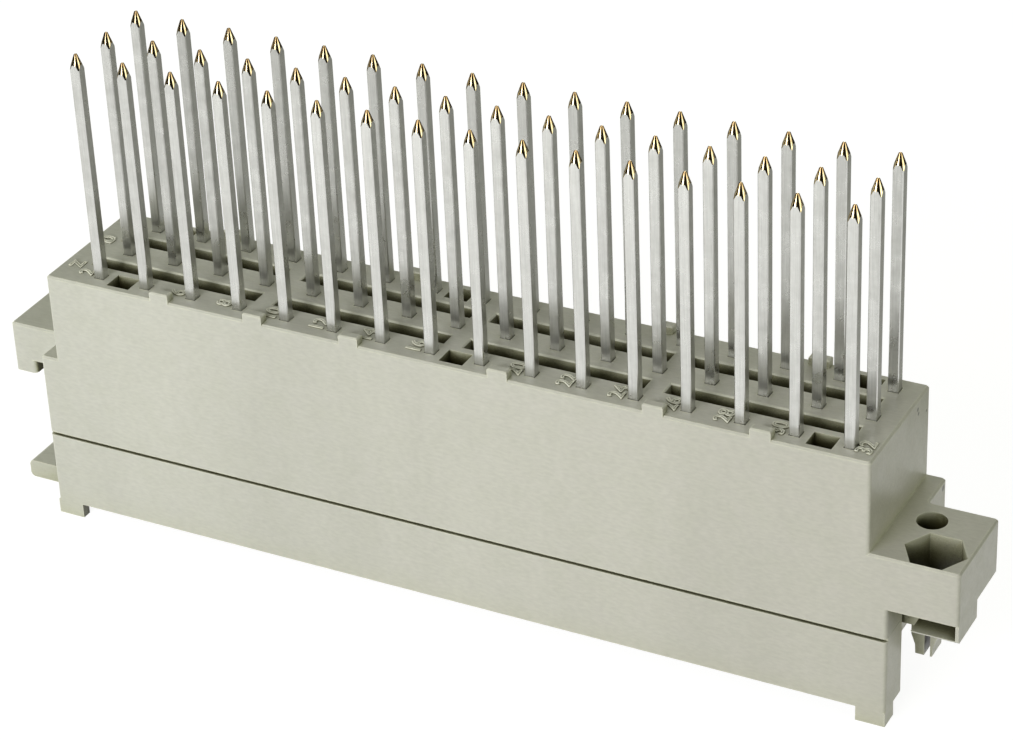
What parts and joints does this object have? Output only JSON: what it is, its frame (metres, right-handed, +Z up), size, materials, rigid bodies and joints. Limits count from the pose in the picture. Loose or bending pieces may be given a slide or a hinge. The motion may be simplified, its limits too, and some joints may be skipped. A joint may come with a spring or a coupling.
{
  "type": "female board connector",
  "caption": "Long female board connector: grey moulded body with end flanges and three rows of long square wire-wrap posts standing up.",
  "frame": {"origin": "centre of the bounding box in plan, on the plane that the feet stand on", "axes": "+X along the connector towards the end whose flange is flush with the front, +Y from the front long side to the back, +Z up from the mating face to the post tips"},
  "size_m": [0.1004, 0.0142, 0.0503],
  "materials": {
    "housing_plastic": "fine satin moulding, glass filled, pebble grey",
    "mating_plastic": "fine satin moulding, glass filled, pebble grey",
    "contact_metal": "tin plated copper alloy, bare at the cut tips"
  },
  "bodies": {
    "root": {"rear_housing": "housing_plastic", "mating_housing": "mating_plastic", "contact_z_02": "contact_metal", "contact_z_04": "contact_metal", "contact_z_06": "contact_metal", "contact_z_08": "contact_metal", "contact_z_10": "contact_metal", "contact_z_12": "contact_metal", "contact_z_14": "contact_metal", "contact_z_16": "contact_metal", "contact_z_18": "contact_metal", "contact_z_20": "contact_metal", "contact_z_22": "contact_metal", "contact_z_24": "contact_metal", "contact_z_26": "contact_metal", "contact_z_28": "contact_metal", "contact_z_30": "contact_metal", "contact_z_32": "contact_metal", "contact_b_02": "contact_metal", "contact_b_04": "contact_metal", "contact_b_06": "contact_metal", "contact_b_08": "contact_metal", "contact_b_10": "contact_metal", "contact_b_12": "contact_metal", "contact_b_14": "contact_metal", "contact_b_16": "contact_metal", "contact_b_18": "contact_metal", "contact_b_20": "contact_metal", "contact_b_22": "contact_metal", "contact_b_24": "contact_metal", "contact_b_26": "contact_metal", "contact_b_28": "contact_metal", "contact_b_30": "contact_metal", "contact_b_32": "contact_metal", "contact_d_02": "contact_metal", "contact_d_04": "contact_metal", "contact_d_06": "contact_metal", "contact_d_08": "contact_metal", "contact_d_10": "contact_metal", "contact_d_12": "contact_metal", "contact_d_14": "contact_metal", "contact_d_16": "contact_metal", "contact_d_18": "contact_metal", "contact_d_20": "contact_metal", "contact_d_22": "contact_metal", "contact_d_24": "contact_metal", "contact_d_26": "contact_metal", "contact_d_28": "contact_metal", "contact_d_30": "contact_metal", "contact_d_32": "contact_metal"}
  },
  "joints": []
}
